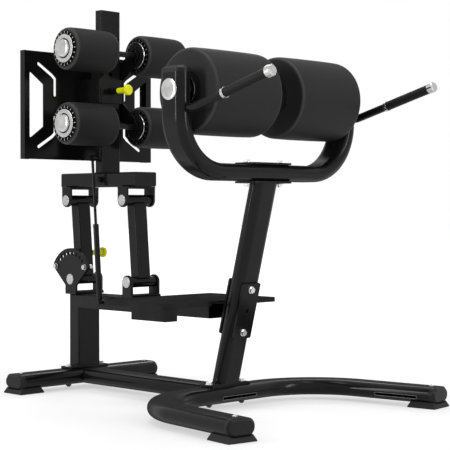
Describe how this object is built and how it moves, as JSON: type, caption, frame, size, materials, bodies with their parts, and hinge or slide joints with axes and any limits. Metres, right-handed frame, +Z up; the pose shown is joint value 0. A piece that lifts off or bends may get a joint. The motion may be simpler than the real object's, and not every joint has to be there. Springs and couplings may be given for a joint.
{
  "type": "glute ham developer",
  "caption": "Free-standing glute ham developer: steel frame, round hip pads in a U yoke, foot rollers and kick plate on a sliding carriage over a swing linkage.",
  "frame": {"origin": "on the floor under the middle of the whole length, on the plane of symmetry of the frame", "axes": "+X forward from the kick plate towards the handles (longest extent), +Y across to the left, +Z up"},
  "size_m": [1.3936, 1.022, 1.349],
  "materials": {
    "black_powder_coat": "semi-gloss black powder coat on steel",
    "chrome": "bright chrome",
    "zinc_steel": "zinc-plated steel",
    "black_rubber": "moulded black rubber",
    "grip_rubber": "fine-ribbed black rubber",
    "charcoal_foam": "charcoal skin over dense foam",
    "yellow_plastic": "glossy lime-yellow plastic knob",
    "black_plastic": "moulded black plastic"
  },
  "bodies": {
    "frame": {"rear_base_tube": "black_powder_coat", "main_beam": "black_powder_coat", "front_base_tube": "black_powder_coat", "tube_end_caps": "black_plastic", "slot_trims": "black_plastic", "rubber_feet": "black_rubber", "foot_screws": "zinc_steel", "rear_post": "black_powder_coat", "upper_beam": "black_powder_coat", "front_post": "black_powder_coat", "clamp_plate": "black_powder_coat", "frame_bolts": "zinc_steel", "step_platform": "black_powder_coat", "lower_link_brackets": "black_powder_coat", "sector_plate": "black_powder_coat", "stop_bolts": "chrome", "lower_pivot_bolts": "chrome", "yoke": "black_powder_coat", "yoke_top_plate": "black_powder_coat", "handle_bars": "black_powder_coat", "handle_rings": "chrome", "handle_grips": "grip_rubber", "handle_end_caps": "chrome", "hip_shaft": "zinc_steel", "hip_shaft_caps": "chrome", "strut_lower_stud": "black_powder_coat"},
    "rear_link": {"rear_link": "black_powder_coat", "rear_link_bushes": "black_plastic", "link_pin_housing": "black_powder_coat"},
    "link_pin": {"link_pin": "yellow_plastic"},
    "front_link": {"front_link": "black_powder_coat", "front_link_bushes": "black_plastic"},
    "top_frame": {"top_beam": "black_powder_coat", "top_tube_caps": "black_plastic", "upper_link_brackets": "black_powder_coat", "upper_pivot_bolts": "chrome", "mast": "black_powder_coat"},
    "carriage": {"carriage_sleeve": "black_powder_coat", "sleeve_liners": "black_plastic", "kick_plate": "black_powder_coat", "roller_axles": "black_powder_coat", "roller_end_caps": "chrome", "mast_pin_housing": "black_powder_coat"},
    "mast_pin": {"mast_pin": "yellow_plastic"},
    "upper_left_roller": {"upper_left_foam": "charcoal_foam", "upper_left_hubs": "black_plastic"},
    "upper_right_roller": {"upper_right_foam": "charcoal_foam", "upper_right_hubs": "black_plastic"},
    "lower_left_roller": {"lower_left_foam": "charcoal_foam", "lower_left_hubs": "black_plastic"},
    "lower_right_roller": {"lower_right_foam": "charcoal_foam", "lower_right_hubs": "black_plastic"},
    "left_hip_roller": {"left_hip_pad": "charcoal_foam", "left_hip_hubs": "black_plastic"},
    "right_hip_roller": {"right_hip_pad": "charcoal_foam", "right_hip_hubs": "black_plastic"},
    "strut_cylinder": {"strut_cylinder": "black_powder_coat"},
    "strut_rod": {"strut_rod": "black_powder_coat"}
  },
  "joints": [
    {"name": "link_swing", "type": "hinge", "parent": "frame", "child": "rear_link", "pos_m": [-0.59487, 0, 0.391], "axis": [0, 1, 0], "range_deg": [-37.8, 50.4]},
    {"name": "front_link_swing", "type": "hinge", "parent": "frame", "child": "front_link", "pos_m": [-0.28487, 0, 0.391], "axis": [0, 1, 0], "range_deg": [-38, 50.6]},
    {"name": "top_level", "type": "hinge", "parent": "rear_link", "child": "top_frame", "pos_m": [-0.61872, 0, 0.675], "axis": [0, 1, 0], "range_deg": [-50.6, 38]},
    {"name": "carriage_lift", "type": "slide", "parent": "top_frame", "child": "carriage", "axis": [0, 0, 1], "range_m": [-0.03, 0.12]},
    {"name": "mast_pin_pull", "type": "slide", "parent": "carriage", "child": "mast_pin", "axis": [1, 0, 0], "range_m": [0, 0.012], "stiffness_N_per_m": 1500, "springref_m": -0.004},
    {"name": "link_pin_pull", "type": "slide", "parent": "rear_link", "child": "link_pin", "axis": [0, 1, 0], "range_m": [0, 0.012], "stiffness_N_per_m": 1500, "springref_m": -0.004},
    {"name": "strut_swing", "type": "hinge", "parent": "frame", "child": "strut_cylinder", "pos_m": [-0.41487, -0.078, 0.316], "axis": [0, 1, 0], "range_deg": [-23.1, 30.7]},
    {"name": "strut_extend", "type": "slide", "parent": "strut_cylinder", "child": "strut_rod", "axis": [-0.0782, 0, 0.9969], "range_m": [-0.031, 0.121]},
    {"name": "upper_left_spin", "type": "hinge", "parent": "carriage", "child": "upper_left_roller", "pos_m": [-0.38372, 0.161, 1.19], "axis": [0, 1, 0], "continuous": true},
    {"name": "upper_right_spin", "type": "hinge", "parent": "carriage", "child": "upper_right_roller", "pos_m": [-0.38372, -0.161, 1.19], "axis": [0, 1, 0], "continuous": true},
    {"name": "lower_left_spin", "type": "hinge", "parent": "carriage", "child": "lower_left_roller", "pos_m": [-0.38372, 0.161, 0.936], "axis": [0, 1, 0], "continuous": true},
    {"name": "lower_right_spin", "type": "hinge", "parent": "carriage", "child": "lower_right_roller", "pos_m": [-0.38372, -0.161, 0.936], "axis": [0, 1, 0], "continuous": true},
    {"name": "left_hip_spin", "type": "hinge", "parent": "frame", "child": "left_hip_roller", "pos_m": [0.30165, 0.19, 1], "axis": [0, 1, 0], "continuous": true},
    {"name": "right_hip_spin", "type": "hinge", "parent": "frame", "child": "right_hip_roller", "pos_m": [0.30165, -0.19, 1], "axis": [0, 1, 0], "continuous": true}
  ],
  "couplings": [
    {"joint": "front_link_swing", "follows": "link_swing", "ratio": 1},
    {"joint": "top_level", "follows": "link_swing", "ratio": -1},
    {"joint": "strut_swing", "follows": "link_swing", "ratio": 0.6},
    {"joint": "strut_extend", "follows": "carriage_lift", "ratio": 0.9969}
  ]
}
